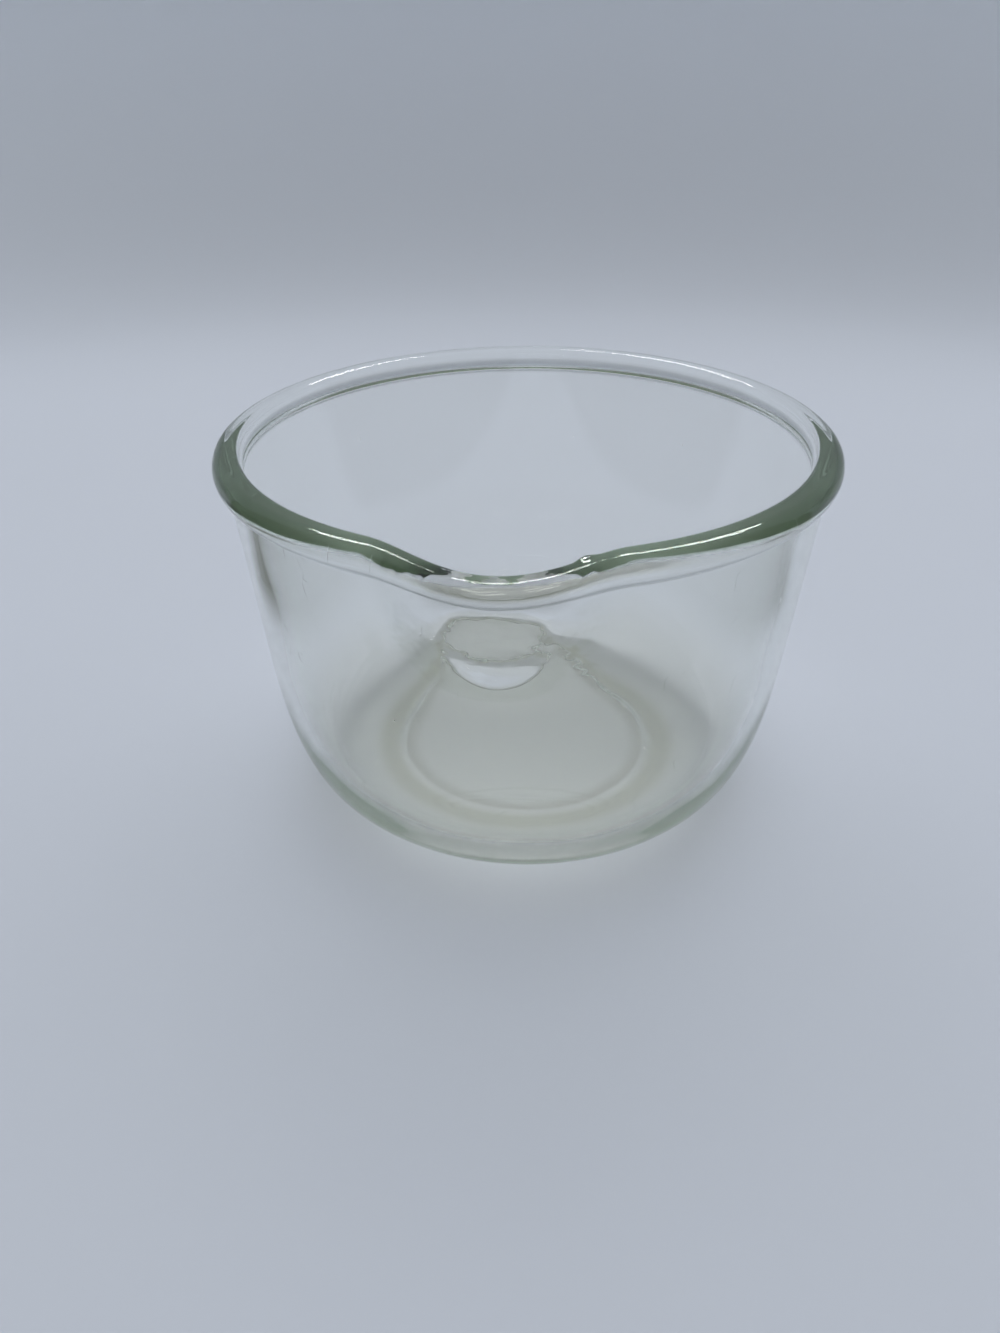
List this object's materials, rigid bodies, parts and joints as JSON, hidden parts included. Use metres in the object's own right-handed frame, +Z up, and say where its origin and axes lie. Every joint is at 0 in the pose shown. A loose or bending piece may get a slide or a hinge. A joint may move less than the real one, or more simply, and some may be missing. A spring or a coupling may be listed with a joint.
{
  "type": "mixer bowl",
  "caption": "Small clear pressed-glass mixer bowl: tapered round wall, beaded rim with a pouring spout, rounded bottom corner and a foot ring to stand on or to seat on a turntable.",
  "frame": {"origin": "on the bowl's axis in the plane of the foot ring that it rests on, 0.7 mm under the middle of the recess's flat face", "axes": "+Z up along the bowl's axis towards its mouth, -Y towards the pouring spout, +X to the right of the spout seen from in front of it"},
  "size_m": [0.165, 0.1687, 0.1045],
  "materials": {
    "clear_glass": "polished pressed glass with a faint green tint in its depth"
  },
  "bodies": {
    "root": {"glass_bowl": "clear_glass"}
  },
  "joints": []
}
